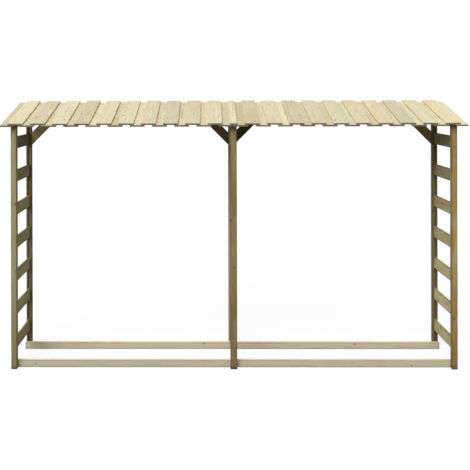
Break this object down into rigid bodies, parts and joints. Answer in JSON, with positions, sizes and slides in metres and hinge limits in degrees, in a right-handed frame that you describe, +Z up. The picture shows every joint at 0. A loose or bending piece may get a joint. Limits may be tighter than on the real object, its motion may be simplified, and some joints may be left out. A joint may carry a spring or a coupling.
{
  "type": "log store",
  "caption": "Open timber firewood shelter with slatted ends, ground rails, rear knee braces and a lean-to roof of overlapping boards.",
  "frame": {"origin": "on the ground, below the centre of the roof seen from above", "axes": "+X along the front, +Y from the open front to the back, +Z up"},
  "size_m": [3, 0.44, 1.732],
  "materials": {
    "posts": "sawn, pressure treated, olive brown",
    "base_rails": "sawn, pale beige",
    "slats": "sawn, pressure treated, olive brown",
    "braces": "sawn, pressure treated, dark olive brown",
    "roof_frame": "sawn, pressure treated",
    "roof_boards": "sawn, pale cream with a green tint"
  },
  "bodies": {
    "root": {"centre_left_brace": "braces", "centre_rafter": "roof_frame", "centre_right_brace": "braces", "front_centre_post": "posts", "front_left_base_rail": "base_rails", "front_left_post": "posts", "front_left_purlin": "roof_frame", "front_right_base_rail": "base_rails", "front_right_post": "posts", "front_right_purlin": "roof_frame", "left_end_brace": "braces", "left_rafter": "roof_frame", "left_roof_lower_boards": "roof_boards", "left_roof_upper_boards": "roof_boards", "left_slat_1": "slats", "left_slat_2": "slats", "left_slat_3": "slats", "left_slat_4": "slats", "left_slat_5": "slats", "left_slat_6": "slats", "left_slat_7": "slats", "rear_centre_post": "posts", "rear_left_base_rail": "base_rails", "rear_left_post": "posts", "rear_left_purlin": "roof_frame", "rear_right_base_rail": "base_rails", "rear_right_post": "posts", "rear_right_purlin": "roof_frame", "right_end_brace": "braces", "right_rafter": "roof_frame", "right_roof_lower_boards": "roof_boards", "right_roof_upper_boards": "roof_boards", "right_slat_1": "slats", "right_slat_2": "slats", "right_slat_3": "slats", "right_slat_4": "slats", "right_slat_5": "slats", "right_slat_6": "slats", "right_slat_7": "slats", "roof_centre_strip": "roof_boards"}
  },
  "joints": []
}
